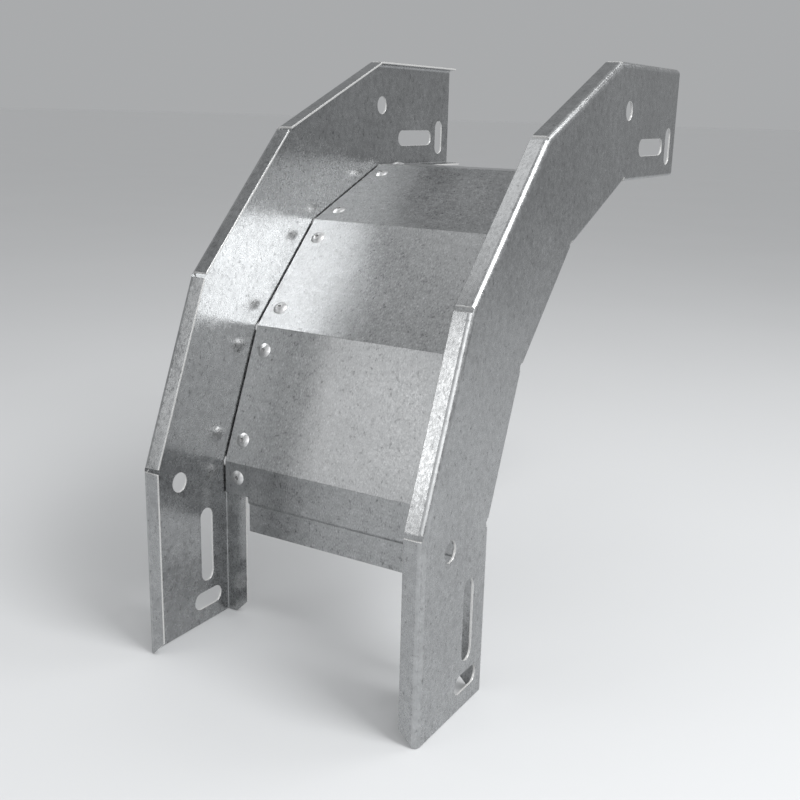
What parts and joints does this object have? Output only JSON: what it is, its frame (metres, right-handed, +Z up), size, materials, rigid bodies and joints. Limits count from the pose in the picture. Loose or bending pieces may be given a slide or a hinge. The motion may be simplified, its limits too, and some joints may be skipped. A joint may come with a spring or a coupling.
{
  "type": "cable tray bend",
  "caption": "Riveted sheet-metal cable tray bend for a vertical riser, with slotted side walls that carry stiffening lips and a folded floor plate.",
  "frame": {"origin": "middle of the tray's lower end, on the underside of the flanges", "axes": "+X across the tray, +Y along the upper end and away from the lips of the lower end, +Z up along the lower end"},
  "size_m": [0.1524, 0.2877, 0.2877],
  "materials": {
    "wall_zinc": "galvanised sheet with a fine zinc spangle, satin",
    "plate_zinc": "galvanised sheet with a fine zinc spangle, satin",
    "rivet_body": "bright drawn aluminium",
    "rivet_mandrel": "snapped steel, dull"
  },
  "bodies": {
    "root": {"side_wall_left": "wall_zinc", "side_wall_right": "wall_zinc", "floor_plate": "plate_zinc", "rivet_left_1": "rivet_body", "rivet_left_2": "rivet_body", "rivet_left_3": "rivet_body", "rivet_left_4": "rivet_body", "rivet_left_5": "rivet_body", "rivet_left_6": "rivet_body", "rivet_left_7": "rivet_body", "rivet_left_8": "rivet_body", "rivet_right_1": "rivet_body", "rivet_right_2": "rivet_body", "rivet_right_3": "rivet_body", "rivet_right_4": "rivet_body", "rivet_right_5": "rivet_body", "rivet_right_6": "rivet_body", "rivet_right_7": "rivet_body", "rivet_right_8": "rivet_body", "mandrel_left_1": "rivet_mandrel", "mandrel_left_2": "rivet_mandrel", "mandrel_left_3": "rivet_mandrel", "mandrel_left_4": "rivet_mandrel", "mandrel_left_5": "rivet_mandrel", "mandrel_left_6": "rivet_mandrel", "mandrel_left_7": "rivet_mandrel", "mandrel_left_8": "rivet_mandrel", "mandrel_right_1": "rivet_mandrel", "mandrel_right_2": "rivet_mandrel", "mandrel_right_3": "rivet_mandrel", "mandrel_right_4": "rivet_mandrel", "mandrel_right_5": "rivet_mandrel", "mandrel_right_6": "rivet_mandrel", "mandrel_right_7": "rivet_mandrel", "mandrel_right_8": "rivet_mandrel"}
  },
  "joints": []
}
